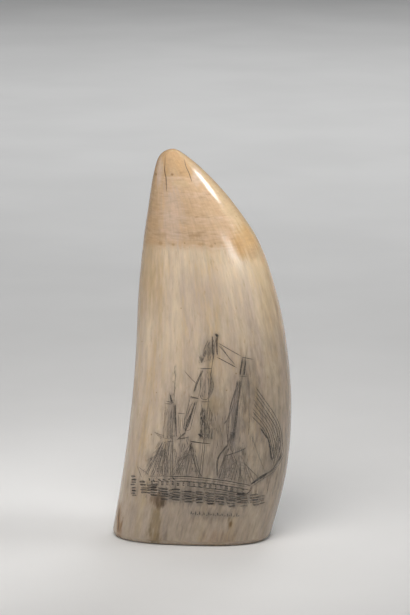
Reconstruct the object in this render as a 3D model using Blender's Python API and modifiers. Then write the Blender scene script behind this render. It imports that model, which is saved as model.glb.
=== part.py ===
"""Scrimshaw whale tooth: one sperm whale tooth, sawn flat at the root and standing on the cut.

Metres, +Z up. The origin is on the sawn face, under the middle of the tooth's box. The tooth curves in the XZ plane:
its hollow inner edge faces -X and its bulging outer edge +X. The engraved broad side faces -Y.
"""

import math

import bmesh
import bpy
from mathutils import Vector

TOOTH_HEIGHT = 0.150
TOOTH_WIDTH = 0.069
TOOTH_THICKNESS = 0.0416
SAWN_EDGE_ROUND = 0.0015
RIM_WALL = 0.0100
PULP_DEPTH = 0.0380
PULP_MOUTH_ROUND = 0.0006

# Each row is one level of the tooth, from the sawn root to the tip. The levels stand at the sines of equal angles,
# so that they crowd towards the rounded tip. Inner and outer edge are shares of the width, measured from the middle
# of the box, and the thickness is a share of the greatest one.
LEVELS = (
    (-0.500, 0.389, 0.913),
    (-0.436, 0.478, 0.976),
    (-0.387, 0.500, 1.000),
    (-0.360, 0.473, 0.971),
    (-0.346, 0.410, 0.894),
    (-0.319, 0.315, 0.784),
    (-0.288, 0.170, 0.644),
    (-0.261, 0.025, 0.471),
    (-0.226, -0.090, 0.250),
    (-0.143, -0.143, 0.000),
)
# A cross-section is a superellipse: squarish at the root, where the broad sides are flat, and nearly round at the tip.
ROOT_SQUARENESS = 2.70
MIDDLE_SQUARENESS = 2.50
TIP_SQUARENESS = 2.10
MIDDLE_SHARE = 0.40

# The pulp cavity is a blunt cone with nearly elliptic sections. Its taper says how quickly it closes towards its end:
# 1 is an ellipsoid, and more is nearer a cone.
PULP_SQUARENESS = 2.10
PULP_TAPER = 1.6

MERIDIANS = 64
PARALLELS = 36
PULP_MERIDIANS = 32
PULP_PARALLELS = 10
SAWN_EDGE_STEPS = 3
PULP_MOUTH_STEPS = 2
PULP_MOUTH_ANGLE = math.radians(60)
SHADED_SHARP_ANGLE = math.radians(35)

IVORY_COLOUR = (0.66, 0.55, 0.41, 1.0)
IVORY_ROUGHNESS = 0.30


def clear_scene():
    for old in list(bpy.data.objects):
        bpy.data.objects.remove(old)


def collection_named(name):
    made = bpy.data.collections.new(name)
    bpy.context.scene.collection.children.link(made)
    return made


def ivory_material():
    made = bpy.data.materials.new("polished_ivory")
    made.use_nodes = True
    shader = made.node_tree.nodes["Principled BSDF"]
    shader.inputs["Base Color"].default_value = IVORY_COLOUR
    shader.inputs["Roughness"].default_value = IVORY_ROUGHNESS
    shader.inputs["Metallic"].default_value = 0.0
    return made


def smooth_value(values, before, after, place):
    """Reads a row of evenly spaced values at a fractional place, along a smooth curve through all of them."""
    padded = (before, *values, after)
    span = min(int(place), len(values) - 2)
    t = place - span
    a, b, c, d = padded[span : span + 4]
    bend = (2 * a - 5 * b + 4 * c - d) * t * t
    twist = (3 * b - a - 3 * c + d) * t * t * t
    return 0.5 * (2 * b + (c - a) * t + bend + twist)


def section_at(height_share):
    """Middle, half width and half thickness of the section at a share of the height, in metres. At the tip each
    edge runs over into the other."""
    inner, outer, thick = zip(*LEVELS)
    place = math.asin(height_share) / (math.pi / 2) * (len(LEVELS) - 1)
    inner_edge = smooth_value(inner, 2 * inner[0] - inner[1], outer[-2], place)
    outer_edge = smooth_value(outer, 2 * outer[0] - outer[1], inner[-2], place)
    thickness = smooth_value(thick, 2 * thick[0] - thick[1], -thick[-2], place)
    middle = (inner_edge + outer_edge) / 2 * TOOTH_WIDTH
    half_width = (outer_edge - inner_edge) / 2 * TOOTH_WIDTH
    return middle, half_width, thickness * TOOTH_THICKNESS / 2


def squareness_at(height_share):
    """The superellipse's exponent at a share of the height."""
    if height_share < MIDDLE_SHARE:
        along = height_share / MIDDLE_SHARE
        return ROOT_SQUARENESS + (MIDDLE_SQUARENESS - ROOT_SQUARENESS) * along
    along = (height_share - MIDDLE_SHARE) / (1 - MIDDLE_SHARE)
    return MIDDLE_SQUARENESS + (TIP_SQUARENESS - MIDDLE_SQUARENESS) * along


def on_superellipse(turn, exponent):
    """The point of the unit superellipse that belongs to a direction round the section."""
    cosine, sine = math.cos(turn), math.sin(turn)
    across = math.copysign(abs(cosine) ** (2 / exponent), cosine)
    through = math.copysign(abs(sine) ** (2 / exponent), sine)
    return across, through


def half_sphere(meridians, parallels):
    """The upper half of a sphere of radius 1, closed below by one flat face."""
    mesh = bmesh.new()
    bmesh.ops.create_uvsphere(mesh, u_segments=meridians, v_segments=2 * parallels, radius=1)
    level = math.sin(math.pi / 2 / parallels) / 2
    below = [v for v in mesh.verts if v.co.z < -level]
    bmesh.ops.delete(mesh, geom=below, context="VERTS")
    rim = [edge for edge in mesh.edges if edge.is_boundary]
    bmesh.ops.contextual_create(mesh, geom=rim)
    bmesh.ops.recalc_face_normals(mesh, faces=mesh.faces)
    return mesh


def object_from(mesh, name, collection):
    data = bpy.data.meshes.new(name)
    mesh.to_mesh(data)
    mesh.free()
    made = bpy.data.objects.new(name, data)
    collection.objects.link(made)
    return made


def tooth_body(collection):
    """Half a sphere whose parallels become the tooth's sections, each at the same share of the height."""
    mesh = half_sphere(MERIDIANS, PARALLELS)
    for vertex in mesh.verts:
        height_share = min(max(vertex.co.z, 0.0), 1.0)
        middle, half_width, half_thickness = section_at(height_share)
        turn = math.atan2(vertex.co.y, vertex.co.x)
        across, through = on_superellipse(turn, squareness_at(height_share))
        vertex.co = Vector(
            (
                middle + across * half_width,
                through * half_thickness,
                height_share * TOOTH_HEIGHT,
            )
        )
    return object_from(mesh, "whale_tooth", collection)


def pulp_cutter(collection):
    """The pulp cavity, wholly hidden under the tooth as it stands. Its upper half is the hollow, and its lower half
    hangs free below the sawn face."""
    mesh = bmesh.new()
    bmesh.ops.create_uvsphere(
        mesh, u_segments=PULP_MERIDIANS, v_segments=2 * PULP_PARALLELS, radius=1
    )
    _, root_half_width, root_half_thickness = section_at(0)
    for vertex in mesh.verts:
        depth = vertex.co.z * PULP_DEPTH
        middle, _, _ = section_at(max(depth, 0.0) / TOOTH_HEIGHT)
        narrowing = max(1 - vertex.co.z * vertex.co.z, 0.0) ** (PULP_TAPER / 2)
        turn = math.atan2(vertex.co.y, vertex.co.x)
        across, through = on_superellipse(turn, PULP_SQUARENESS)
        vertex.co = Vector(
            (
                middle + across * narrowing * (root_half_width - RIM_WALL),
                through * narrowing * (root_half_thickness - RIM_WALL),
                depth,
            )
        )
    cutter = object_from(mesh, "pulp_cavity_cutter", collection)
    cutter.hide_render = True
    cutter.display_type = "WIRE"
    return cutter


def mark_edges_to_round(tooth):
    """Gives the sawn face's outer edge its rounding in a weight that the first Bevel reads."""
    weights = tooth.data.attributes.new("bevel_weight_edge", "FLOAT", "EDGE")
    for edge in tooth.data.edges:
        ends = [tooth.data.vertices[i].co.z for i in edge.vertices]
        weights.data[edge.index].value = 1.0 if max(ends) < SAWN_EDGE_ROUND / 2 else 0.0


def main():
    clear_scene()
    tooth_parts = collection_named("scrimshaw_whale_tooth")
    cutters = collection_named("cutters")

    tooth = tooth_body(tooth_parts)
    tooth.data.materials.append(ivory_material())
    mark_edges_to_round(tooth)

    sawn_edge = tooth.modifiers.new("sawn_edge", "BEVEL")
    sawn_edge.limit_method = "WEIGHT"
    sawn_edge.width = SAWN_EDGE_ROUND
    sawn_edge.segments = SAWN_EDGE_STEPS

    hollow = tooth.modifiers.new("pulp_cavity", "BOOLEAN")
    hollow.operation = "DIFFERENCE"
    hollow.object = pulp_cutter(cutters)

    mouth = tooth.modifiers.new("pulp_mouth", "BEVEL")
    mouth.limit_method = "ANGLE"
    mouth.angle_limit = PULP_MOUTH_ANGLE
    mouth.width = PULP_MOUTH_ROUND
    mouth.segments = PULP_MOUTH_STEPS

    tooth.data.shade_smooth()
    tooth.data.set_sharp_from_angle(angle=SHADED_SHARP_ANGLE)


main()
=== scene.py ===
# %% [markdown]
# # A scrimshaw whale tooth
#
# The object is one sperm whale tooth. A sailor sawed off its root so that it stands, scraped and polished
# it, and cut a sailing ship into one broad side with a needle. Soot rubbed into the cuts makes them show.
#
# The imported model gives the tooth's size and place. Everything here is worked out in millimetres from that
# model's box and is turned into metres only when a mesh is made.

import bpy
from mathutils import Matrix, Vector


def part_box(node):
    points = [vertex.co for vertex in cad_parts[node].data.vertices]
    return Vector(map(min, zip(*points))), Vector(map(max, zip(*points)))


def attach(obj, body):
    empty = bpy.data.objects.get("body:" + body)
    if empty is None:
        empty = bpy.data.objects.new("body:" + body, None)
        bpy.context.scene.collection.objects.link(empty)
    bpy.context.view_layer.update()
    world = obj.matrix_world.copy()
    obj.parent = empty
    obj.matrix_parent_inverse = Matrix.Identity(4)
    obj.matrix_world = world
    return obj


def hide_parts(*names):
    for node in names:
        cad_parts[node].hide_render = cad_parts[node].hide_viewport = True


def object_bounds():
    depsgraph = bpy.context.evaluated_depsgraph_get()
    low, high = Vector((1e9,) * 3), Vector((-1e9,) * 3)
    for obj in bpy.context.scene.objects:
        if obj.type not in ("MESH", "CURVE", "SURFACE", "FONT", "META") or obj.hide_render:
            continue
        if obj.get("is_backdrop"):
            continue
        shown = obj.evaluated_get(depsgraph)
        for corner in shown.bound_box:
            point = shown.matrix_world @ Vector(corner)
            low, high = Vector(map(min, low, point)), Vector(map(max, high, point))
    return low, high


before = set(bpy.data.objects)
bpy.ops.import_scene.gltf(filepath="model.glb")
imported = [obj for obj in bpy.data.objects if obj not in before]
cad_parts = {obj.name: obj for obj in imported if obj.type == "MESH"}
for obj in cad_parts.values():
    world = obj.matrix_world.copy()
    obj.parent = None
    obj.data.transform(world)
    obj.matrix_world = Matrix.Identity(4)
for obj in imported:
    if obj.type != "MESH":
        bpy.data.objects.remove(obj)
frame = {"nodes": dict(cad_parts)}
cad_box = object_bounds()
print("nodes:", ", ".join(frame["nodes"]))

# %% Import what the lesson needs
import math
from collections import namedtuple

import bpy
import numpy as np
from mathutils import Vector
from mathutils.geometry import delaunay_2d_cdt

MM = 0.001
hand = np.random.default_rng(1846)
print("random numbers start from a fixed seed, so every run gives the same tooth")

# %% [markdown]
# ## The camera
# The photograph was taken from a little above and a little to the right of square on, through a long lens,
# so that the tooth's outline is hardly distorted. The camera comes first because every later choice is
# judged through it. It circles a target on the tooth's axis: an angle round, an angle up and a distance say
# more than coordinates do.

# %% Set up the camera
CAMERA_TARGET_MM = (1.4, 0.0, 89.2)
CAMERA_ROUND = math.radians(6)
CAMERA_UP = math.radians(12)
CAMERA_DISTANCE_MM = 1100
CAMERA_LENS_MM = 169.15


def out_from(target_mm, round_angle, up_angle, distance_mm):
    """A place seen from the target at an angle round from the front, towards +X, and an angle up."""
    flat = math.cos(up_angle) * distance_mm
    up = math.sin(up_angle) * distance_mm
    step = Vector((math.sin(round_angle) * flat, -math.cos(round_angle) * flat, up))
    return (Vector(target_mm) + step) * MM


def aim(thing, target_mm):
    """Turns a camera or a lamp so that its -Z axis points at the target."""
    towards = Vector(target_mm) * MM - thing.location
    thing.rotation_euler = towards.to_track_quat("-Z", "Y").to_euler()


camera = bpy.data.objects.new("camera", bpy.data.cameras.new("camera"))
bpy.context.scene.collection.objects.link(camera)
camera.location = out_from(CAMERA_TARGET_MM, CAMERA_ROUND, CAMERA_UP, CAMERA_DISTANCE_MM)
camera.data.lens = CAMERA_LENS_MM
camera.data.clip_start = 0.05
aim(camera, CAMERA_TARGET_MM)
bpy.context.scene.camera = camera
print("camera at", [round(value, 3) for value in camera.location], "m")

# %% [markdown]
# ## The form of the tooth
# A whale tooth is a slightly bent cone with an oval section, squarish at the root and round at the tip. The
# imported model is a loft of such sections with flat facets. A polished surface shows every facet in its
# highlights, so the same rule is used again here, this time as a formula that can be read at any point.
#
# A point of the surface has two coordinates. Its *turn* goes round the tooth: 0 is the middle of the
# engraved side, and a quarter turn is the bulging outer edge. Its *level* is an angle too, 0 at the root
# and a quarter turn at the tip, and the height is the sine of it, which crowds the levels where the tip
# closes.
#
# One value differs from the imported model's. The tip's highest point lies a millimetre nearer the hollow
# edge, which rounds the tip more softly, and the surface moves by about 0.3 mm at most.

# %% Write the tooth's form as a formula
# Inner edge, outer edge and thickness at ten evenly spaced levels, as shares of the width and the thickness.
LEVELS = (
    (-0.500, 0.389, 0.913),
    (-0.436, 0.478, 0.976),
    (-0.387, 0.500, 1.000),
    (-0.360, 0.473, 0.971),
    (-0.346, 0.410, 0.894),
    (-0.319, 0.315, 0.784),
    (-0.288, 0.170, 0.644),
    (-0.261, 0.025, 0.471),
    (-0.226, -0.090, 0.250),
    (-0.157, -0.157, 0.000),
)
ROOT_SQUARENESS, MIDDLE_SQUARENESS, TIP_SQUARENESS = 2.70, 2.50, 2.10
MIDDLE_SHARE = 0.40
QUARTER = math.pi / 2

# The smooth curve swells a little past its own levels, so it is kept this far inside the box.
BOX_ROOM = 0.02
# A scraper and a polishing rag leave the ovals true to a few hundredths of a millimetre and no better.
HAND_FINISH_SHARE = 0.004

low_corner, high_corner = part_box("whale_tooth")
HEIGHT = (high_corner[2] - low_corner[2]) / MM
THICKNESS = (high_corner[1] - low_corner[1]) / MM
WIDTH = (high_corner[0] / MM - BOX_ROOM) / max(outer for _, outer, _ in LEVELS)


def smooth_row(values, before, after, level):
    """Reads a row of evenly spaced values at any level, along a smooth curve through all of them."""
    padded = np.array((before, *values, after))
    place = np.asarray(level) / QUARTER * (len(values) - 1)
    span = np.clip(place.astype(int), 0, len(values) - 2)
    t = place - span
    a, b, c, d = (padded[span + step] for step in range(4))
    bend = (2 * a - 5 * b + 4 * c - d) * t**2
    twist = (3 * b - a - 3 * c + d) * t**3
    return 0.5 * (2 * b + (c - a) * t + bend + twist)


def section(level):
    """Middle, half width, half thickness and squareness of the oval at a level."""
    inner, outer, thick = zip(*LEVELS)
    inner_edge = smooth_row(inner, 2 * inner[0] - inner[1], outer[-2], level) * WIDTH
    outer_edge = smooth_row(outer, 2 * outer[0] - outer[1], inner[-2], level) * WIDTH
    thickness = smooth_row(thick, 2 * thick[0] - thick[1], -thick[-2], level) * THICKNESS
    height_share = np.sin(level)
    squareness = np.interp(
        height_share, (0, MIDDLE_SHARE, 1), (ROOT_SQUARENESS, MIDDLE_SQUARENESS, TIP_SQUARENESS)
    )
    return (inner_edge + outer_edge) / 2, (outer_edge - inner_edge) / 2, thickness / 2, squareness


def oval(turn, squareness):
    """The point of the unit oval in the direction of a turn: sideways, and towards the front."""
    sideways, forwards = np.sin(turn), np.cos(turn)
    reach = (np.abs(sideways) ** squareness + np.abs(forwards) ** squareness) ** (-1 / squareness)
    return sideways * reach, forwards * reach


def surface(turn, level):
    """The point of the polished surface at a turn and a level, in millimetres."""
    middle, half_width, half_thickness, squareness = section(level)
    sideways, forwards = oval(turn, squareness)
    worn = 1 - HAND_FINISH_SHARE * (1 + np.sin(3 * turn + 9 * level) * np.cos(14 * level - turn)) / 2
    x = middle + sideways * half_width * worn
    y = -forwards * half_thickness * worn
    return np.stack((x, y, HEIGHT * np.sin(level)), axis=-1)


def outward(turn, level, step=1e-4):
    """The surface's outward direction, from two short steps across it."""
    round_step = surface(turn + step, level) - surface(turn - step, level)
    up_step = surface(turn, level + step) - surface(turn, level - step)
    normal = np.cross(round_step, up_step)
    return normal / np.linalg.norm(normal, axis=-1, keepdims=True)


print(f"tooth {WIDTH:.1f} x {THICKNESS:.1f} x {HEIGHT:.1f} mm")

# %% [markdown]
# ## Cutting lines
# A needle cuts a V-shaped groove, about a fifth of a millimetre wide, that wavers a little and runs out in
# a point at both ends. Where a line has to be strong the needle goes over it several times, which leaves it
# rough, and a dash that is cut hard is blunt. Shade is hatching: many short strokes side by side. Painting
# the lines in a material would be quicker, but real grooves catch the light and survive any export.
#
# The tooth is unrolled into a flat sheet, with the turn across and the level up, and each line becomes
# three chains of points on it: the bottom of the groove and its two lips. Later one triangulation takes in
# all the chains at once.

# %% Make a tool that cuts one line
SHEET_PER_TURN = 28.0
CUT_STEP = 1.2
WAVER = 0.07
WAVER_LENGTH = 4
POINTED_END, BLUNT_END = 0.9, 0.6
LONGEST_END_SHARE = 0.3
GROOVE_DEPTH_SHARE = 0.42
# Wear and soot leave each line this much wider than the needle's own track.
LINE_SPREAD = 1.15

Cut = namedtuple("Cut", "path half_width depth ink crack")
cuts = []


def to_sheet(x, z):
    """The place on the unrolled sheet of a point of the front, given by its x and its height."""
    level = np.arcsin(np.clip(np.asarray(z) / HEIGHT, 0, 1))
    middle, half_width, _, squareness = section(level)
    sideways = np.clip((np.asarray(x) - middle) / half_width, -0.999, 0.999)
    forwards = (1 - np.abs(sideways) ** squareness) ** (1 / squareness)
    return np.stack((np.arctan2(sideways, forwards) * SHEET_PER_TURN, level * HEIGHT), axis=-1)


def sheet_scale(path, step=0.01):
    """How many millimetres of real surface a millimetre of the sheet stands for."""
    turn, level = path[:, 0] / SHEET_PER_TURN, path[:, 1] / HEIGHT
    here = surface(turn, level)
    across = np.linalg.norm(surface(turn + step / SHEET_PER_TURN, level) - here, axis=1) / step
    along = np.linalg.norm(surface(turn, level - step / HEIGHT) - here, axis=1) / step
    return np.sqrt(across * along)


def even_points(points, curved, end):
    """Points a short step apart along a line or, if curved, along a smooth curve through the given points. A
    line with short ends gets a point where each end starts, so that it stays blunt."""
    points = np.asarray(points, float)
    if curved and len(points) > 2:
        ends = np.vstack((2 * points[0] - points[1], points, 2 * points[-1] - points[-2]))
        t = np.linspace(0, 1, 9)[:-1, None]
        bends = [
            0.5 * (2 * b + (c - a) * t + (2 * a - 5 * b + 4 * c - d) * t**2 + (3 * b - a - 3 * c + d) * t**3)
            for a, b, c, d in zip(ends, ends[1:], ends[2:], ends[3:])
        ]
        points = np.vstack((*bends, points[-1]))
    lengths = np.concatenate(([0], np.cumsum(np.linalg.norm(np.diff(points, axis=0), axis=1))))
    count = max(4, round(lengths[-1] / CUT_STEP) + 1)
    stops = np.linspace(0, lengths[-1], count)
    if end < BLUNT_END:
        stops = np.sort(np.append(stops, (end, lengths[-1] - end)))
    return np.stack([np.interp(stops, lengths, points[:, axis]) for axis in (0, 1)], axis=1), stops


def cut(points, width=0.20, ink=0.8, curved=False, waver=WAVER, crack=0.0, pointed=POINTED_END):
    """Cuts one line through points given by x and height, in millimetres."""
    width = width * LINE_SPREAD
    size = sum(math.dist(a, b) for a, b in zip(points, points[1:]))
    end = min(pointed, size * LONGEST_END_SHARE)
    path, stops = even_points(points, curved, end)
    bends = np.arange(0, stops[-1] + 2 * WAVER_LENGTH, WAVER_LENGTH)
    shake = np.interp(stops, bends, hand.normal(0, waver, len(bends)))
    tangent = np.gradient(path, axis=0)
    tangent /= np.linalg.norm(tangent, axis=1, keepdims=True)
    path = path + np.stack((-tangent[:, 1], tangent[:, 0]), axis=1) * shake[:, None]
    path = to_sheet(path[:, 0], path[:, 1])
    to_end = np.minimum(stops, stops[-1] - stops)
    half_width = np.minimum(1, to_end / end) * width / 2 / sheet_scale(path)
    cuts.append(Cut(path, half_width, width * GROOVE_DEPTH_SHARE, ink, crack))


def scratch(points, strokes=3, spread=0.22, **style):
    """A thick rough line: several strokes through nearly the same points."""
    for _ in range(strokes):
        cut([(x + hand.normal(0, spread), z + hand.normal(0, spread)) for x, z in points], **style)


def between(start, end, share):
    """The point at a share of the way from one point to another."""
    return tuple(a + (b - a) * share for a, b in zip(start, end))


def hatch(top, bottom, count, length=3.0, ink=0.35, width=0.15):
    """Short uneven strokes at random in an area. They run from its top edge towards its bottom edge."""
    for _ in range(count):
        aside, down = hand.uniform(0, 1, 2)
        head, foot = between(*top, aside), between(*bottom, aside + hand.normal(0, 0.06))
        reach = min(1.0, down + length * hand.uniform(0.4, 1.3) / math.dist(head, foot))
        start = min(down, reach - 0.02)
        stroke = [between(head, foot, start), between(head, foot, reach)]
        cut(stroke, width=width, ink=ink * hand.uniform(0.5, 1.4))


print("the cutting tool is ready")

# %% [markdown]
# ## The ship's hull
# The sailor drew a three-masted ship at anchor, seen from the side. The hull is long and low: two rails, a
# row of gun ports between two lines, a raised stern and a bowsprit that rises to the right. The rails
# follow one arched curve, so a single formula places the rails, the ports and the feet of the shrouds.

# %% Cut the hull
STERN, BOW = -21.0, 20.4
SHEER_TOP, SHEER_MIDDLE, SHEER_DROP = 28.0, -5.0, 0.0052
BOWSPRIT = ((20.8, 25.0), (25.4, 27.8), (29.2, 30.3), (32.4, 35.4))

# Each line along the hull: its start, its end, how far it lies below the rail, its width and its ink.
HULL_LINES = (
    (STERN + 10, BOW - 1.6, 0.0, 0.26, 0.90),
    (STERN + 2, BOW - 14, 0.1, 0.16, 0.50),
    (STERN + 10, BOW - 1.0, 0.9, 0.18, 0.70),
    (STERN + 14, BOW + 0.3, 1.9, 0.26, 0.90),
    (STERN + 3, BOW - 12.0, 2.1, 0.16, 0.60),
    (STERN + 18, BOW - 0.2, 3.9, 0.26, 0.95),
    (STERN + 24, BOW - 1.2, 4.6, 0.22, 0.80),
)
# A port is three short dashes, one above the other.
PORT_PITCH, PORT_DASHES_BELOW = 2.05, (2.2, 2.8, 3.4)


def sheer(x, below=0.0):
    """The height of the rail, or of a line below it, at a place along the hull."""
    return SHEER_TOP - SHEER_DROP * (x - SHEER_MIDDLE) ** 2 - below


def cut_rails():
    """The rails and the long lines below them."""
    for start, end, below, width, ink in HULL_LINES:
        line = [(x, sheer(x, below)) for x in np.linspace(start, end, 8)]
        cut(line, curved=True, width=width, ink=ink)


def cut_ports():
    """The gun ports, and coarser marks along the raised stern."""
    for x in np.arange(STERN + 4, BOW - 0.5, PORT_PITCH):
        half, strength = hand.uniform(0.35, 0.7), hand.uniform(0.65, 1.0)
        for below in PORT_DASHES_BELOW:
            tilt = hand.uniform(-0.12, 0.12)
            ends = [(x - half, sheer(x, below) - tilt), (x + half, sheer(x, below) + tilt)]
            cut(ends, width=0.40, ink=strength * hand.uniform(0.6, 1.0), pointed=0.2)
    for x in np.arange(STERN + 3, STERN + 13, 1.9):
        drop = hand.uniform(1.0, 2.0)
        mark = [(x - 0.4, sheer(x, drop)), (x + 0.5, sheer(x, drop + 0.3))]
        scratch(mark, 2, 0.2, width=0.38, ink=0.85, pointed=0.3)


def cut_stern_and_bow():
    """The lines that close the hull at both ends, and the shade on its side."""
    cut([(STERN - 2.4, 30.6), (STERN - 1.2, 28.2), (STERN, 25.6)], curved=True, ink=0.5)
    cut([(STERN - 1.8, 30.0), (STERN + 0.8, 28.6), (STERN + 3.0, 27.4)], curved=True, width=0.16, ink=0.4)
    bow = [(BOW, 24.6), (BOW + 0.7, 23.4), (BOW - 0.6, 21.6), (BOW - 2.4, 20.9)]
    scratch(bow, strokes=2, spread=0.15, curved=True, width=0.20, ink=0.8)
    cut([(BOW - 2.2, sheer(BOW - 2.2)), (BOW + 0.6, 24.3)], width=0.24, ink=0.85)
    scratch([(BOW - 5.0, 21.2), (BOW - 2.0, 21.0)], strokes=4, spread=0.2, width=0.45, ink=1.0, pointed=0.4)
    hatch(((STERN, 27.0), (-8.0, 27.6)), ((STERN + 1, 22.6), (-8.0, 23.4)), 26, 1.6, 0.5, 0.2)
    hatch(((-8.0, 27.6), (BOW, 24.4)), ((-8.0, 22.6), (BOW - 1, 21.0)), 46, 1.2, 0.35)


def cut_bowsprit():
    """The spar that rises from the bow, the short spar and ropes below it, and the shade over it."""
    scratch(BOWSPRIT, strokes=4, spread=0.28, curved=True, width=0.22, ink=0.9)
    cut([(x + 0.3, z - 0.9) for x, z in BOWSPRIT], curved=True, width=0.20, ink=0.75)
    scratch([(24.6, 27.0), (26.4, 28.4)], strokes=4, spread=0.3, width=0.30, ink=0.9)
    cut([(27.5, 26.0), (26.4, 20.2)], width=0.22, ink=0.7)
    cut([(27.3, 26.2), (27.6, 29.0)], width=0.16, ink=0.4)
    cut([(27.2, 25.6), (31.6, 33.6)], width=0.14, ink=0.35)
    hatch(((20.0, 30.4), (30.0, 34.0)), ((20.4, 25.0), (29.6, 28.6)), 36, 1.6, 0.36)


cut_rails()
cut_ports()
cut_stern_and_bow()
cut_bowsprit()
print(len(cuts), "cuts after the hull")

# %% [markdown]
# ## Masts, yards and hanging sails
# Each mast is a lower mast and a topmast, and leans towards the bow. The sails hang in their gear to dry,
# so they are narrow bags with a rounded foot and many vertical folds. One function draws such a sail on any
# yard. Rough lines cut several times over mark the yards and the dark edges of the sails, and hatching
# shades their folds.

# %% Cut the masts and the sails
Mast = namedtuple("Mast", "foot top truck")
MIZZEN = Mast((-9.2, 27.6), (-9.0, 44.0), (-7.6, 68.5))
MAIN = Mast((1.8, 27.4), (3.4, 44.0), (7.4, 82.6))
FORE = Mast((8.4, 27.4), (14.2, 46.0), (19.0, 76.6))


def cut_mast(mast, width=0.18, ink=0.6):
    """Both sides of the lower mast, and the topmast above it as one line with a short doubling."""
    for side in (-0.45, 0.45):
        foot, top = (mast.foot[0] + side, mast.foot[1]), (mast.top[0] + side * 0.7, mast.top[1])
        cut([foot, top], width=width, ink=ink)
    cut([between(mast.foot, mast.top, 0.85), mast.top, mast.truck], width=width, ink=ink)
    cut([(mast.top[0] - 1.3, mast.top[1] - 0.4), (mast.top[0] + 1.3, mast.top[1] - 0.3)], width=0.24, ink=ink)


def hanging_sail(left, right, foot, folds, flare=0.0, ink=0.6):
    """A yard, the two edges and the rounded foot of a sail that hangs in its gear, and its folds."""
    scratch([left, right], strokes=2, spread=0.15, width=0.18, ink=min(1.0, ink + 0.1))
    middle = (left[0] + right[0]) / 2
    half = (right[0] - left[0]) / 2 * 0.8
    belly = min(2.4, half)
    edge = [(middle - half, left[1] - 0.3)]
    for angle in np.linspace(math.pi, 2 * math.pi, 7):
        edge.append((middle + flare + half * 0.95 * math.cos(angle), foot + belly + belly * math.sin(angle)))
    edge.append((middle + half, right[1] - 0.3))
    cut(edge, curved=True, width=0.18, ink=ink)
    for fold in range(folds):
        share = (fold + 0.6 + hand.uniform(-0.25, 0.25)) / (folds + 0.2)
        x = middle - half + 2 * half * share
        top = left[1] + (right[1] - left[1]) * share - hand.uniform(0.4, 3.0)
        end = foot + belly * 0.5 + hand.uniform(0.3, 4.0)
        crease = [(x, top), (x + flare / 2, (top + end) / 2), (x + flare, end)]
        cut(crease, curved=True, width=0.15, ink=ink * hand.uniform(0.5, 1.0))


def cut_main_head():
    """The head of the main mast with its furled upper sail."""
    scratch([(8.0, 83.0), (8.0, 78.8), (8.1, 75.6)], strokes=4, spread=0.22, width=0.28, ink=0.9)
    scratch([(6.2, 82.4), (6.6, 74.4)], strokes=4, spread=0.25, width=0.20, ink=0.75)
    scratch([(7.2, 83.3), (8.5, 82.2)], strokes=3, spread=0.25, width=0.32, ink=1.0)
    hatch(((4.8, 81.4), (7.8, 82.0)), ((0.8, 72.0), (6.8, 73.6)), 64, 3.0, 0.50)
    scratch([(1.5, 75.2), (2.6, 72.4)], strokes=4, spread=0.4, width=0.22, ink=0.6)


def cut_main_upper_sail():
    """The main mast's middle sail, and the dark rope that falls away beside it."""
    hanging_sail((1.4, 70.0), (6.2, 70.0), 58.2, folds=3, flare=-0.3)
    hatch(((1.6, 69.6), (6.6, 69.6)), ((1.0, 58.8), (5.8, 59.0)), 36, 2.8, 0.42)
    for line in range(4):
        x = 5.6 + line * 0.42
        cut([(x, 68.8 - line), (x + 0.1, 63.0), (x - 1.0, 59.8)], curved=True, width=0.17, ink=0.6)
    scratch([(2.7, 69.7), (0.6, 64.5), (-0.6, 61.0)], 3, 0.25, curved=True, width=0.18, ink=0.7)


def cut_main_lower_sails():
    """The two lower bags of the main mast, one on each side of it, with the shade between them."""
    hanging_sail((-2.4, 59.0), (1.2, 58.6), 46.0, folds=3, flare=-2.6, ink=0.5)
    dark_edge = [(-0.1, 57.4), (-1.6, 52.9), (-3.0, 49.4), (-3.8, 45.4)]
    scratch(dark_edge, 4, 0.24, curved=True, width=0.22, ink=0.85)
    scratch([(-3.8, 45.4), (-7.0, 42.5)], strokes=3, spread=0.2, width=0.22, ink=0.8)
    hanging_sail((2.0, 57.4), (5.4, 57.2), 44.4, folds=4, flare=0.2, ink=0.6)
    hatch(((1.8, 55.0), (3.4, 55.4)), ((1.6, 43.0), (3.6, 43.0)), 56, 2.0, 0.70, 0.18)
    hatch(((3.2, 55.0), (6.4, 55.4)), ((3.2, 43.0), (6.6, 43.0)), 56, 3.0, 0.52)
    scratch([(1.0, 45.0), (2.4, 43.8)], strokes=4, spread=0.3, width=0.30, ink=0.95)


def cut_main_yard():
    """The lowest yard of the main mast and the rope that hangs from it."""
    cut([(-1.8, 41.7), (5.8, 41.3)], width=0.26, ink=0.9)
    scratch([(-1.9, 41.8), (0.4, 41.6)], strokes=3, spread=0.15, width=0.26, ink=0.9)
    scratch([(-1.6, 41.4), (-2.2, 38.0)], strokes=3, spread=0.2, width=0.26, ink=0.85)
    cut([(-1.6, 40.6), (-0.9, 35.4), (0.3, 31.5), (2.6, 28.0)], curved=True, width=0.20, ink=0.7)


def cut_main_mast():
    cut_mast(MAIN)
    cut_main_head()
    cut_main_upper_sail()
    cut_main_lower_sails()
    cut_main_yard()


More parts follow.
